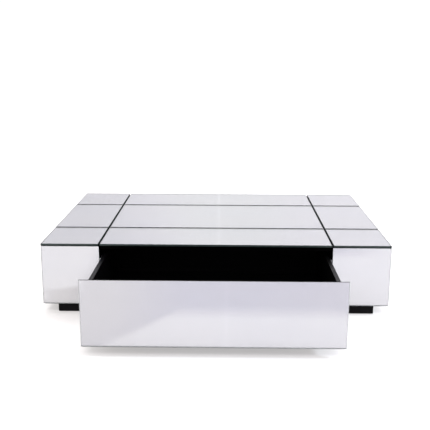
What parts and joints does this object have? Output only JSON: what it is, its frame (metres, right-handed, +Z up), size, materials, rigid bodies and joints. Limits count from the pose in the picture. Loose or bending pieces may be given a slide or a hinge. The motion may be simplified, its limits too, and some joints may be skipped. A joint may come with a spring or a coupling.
{
  "type": "mirrored coffee table",
  "caption": "Low coffee table clad in mirrored glass tiles parted by dark grooves, on a black carcass and block feet, with a wide drawer shown part open on ball-bearing slides.",
  "frame": {"origin": "on the floor under the middle of the table body, at the underside of the centre foot's pad", "axes": "+Z up, +X to the right for somebody facing the drawer front, -Y the way the drawer opens"},
  "size_m": [1.406, 1.428, 0.302],
  "materials": {
    "mirror_glass": "silvered float glass with ground edges, very faintly lavender",
    "black_board": "satin black laminate on fibreboard",
    "black_foot": "satin black paint",
    "felt": "pressed felt",
    "soft_bumper": "soft clear bumper",
    "zinc_steel": "bright zinc plate"
  },
  "bodies": {
    "table_body": {"top_mirror_front_left": "mirror_glass", "top_mirror_front_centre": "mirror_glass", "top_mirror_front_right": "mirror_glass", "top_mirror_middle_left": "mirror_glass", "top_mirror_middle_centre": "mirror_glass", "top_mirror_middle_right": "mirror_glass", "top_mirror_back_left": "mirror_glass", "top_mirror_back_centre": "mirror_glass", "top_mirror_back_right": "mirror_glass", "front_mirror_left": "mirror_glass", "front_mirror_right": "mirror_glass", "left_mirror_front": "mirror_glass", "left_mirror_middle": "mirror_glass", "left_mirror_back": "mirror_glass", "right_mirror_front": "mirror_glass", "right_mirror_middle": "mirror_glass", "right_mirror_back": "mirror_glass", "back_mirror_left": "mirror_glass", "back_mirror_centre": "mirror_glass", "back_mirror_right": "mirror_glass", "top_deck": "black_board", "bottom_deck": "black_board", "back_lining": "black_board", "left_end_panel": "black_board", "right_end_panel": "black_board", "left_partition": "black_board", "right_partition": "black_board", "left_front_lining": "black_board", "right_front_lining": "black_board", "rear_cross_rail": "black_board", "foot_front_left": "black_foot", "foot_front_right": "black_foot", "foot_back_left": "black_foot", "foot_back_right": "black_foot", "foot_centre": "black_foot", "foot_pad_front_left": "felt", "foot_pad_front_right": "felt", "foot_pad_back_left": "felt", "foot_pad_back_right": "felt", "foot_pad_centre": "felt", "left_bumper": "soft_bumper", "right_bumper": "soft_bumper", "left_slide_cabinet_member": "zinc_steel", "right_slide_cabinet_member": "zinc_steel"},
    "slide_middles": {"left_slide_middle_member": "zinc_steel", "right_slide_middle_member": "zinc_steel"},
    "drawer": {"drawer_front_mirror": "mirror_glass", "drawer_front_lining": "black_board", "drawer_left_side": "black_board", "drawer_right_side": "black_board", "drawer_box_front": "black_board", "drawer_box_back": "black_board", "drawer_floor": "black_board", "left_slide_drawer_member": "zinc_steel", "right_slide_drawer_member": "zinc_steel"}
  },
  "joints": [
    {"name": "drawer_travel", "type": "slide", "parent": "table_body", "child": "drawer", "axis": [0, -1, 0], "range_m": [-0.428, 0.222]},
    {"name": "slide_middle_travel", "type": "slide", "parent": "table_body", "child": "slide_middles", "axis": [0, -1, 0], "range_m": [-0.214, 0.111]}
  ],
  "couplings": [
    {"joint": "slide_middle_travel", "follows": "drawer_travel", "ratio": 0.5}
  ]
}
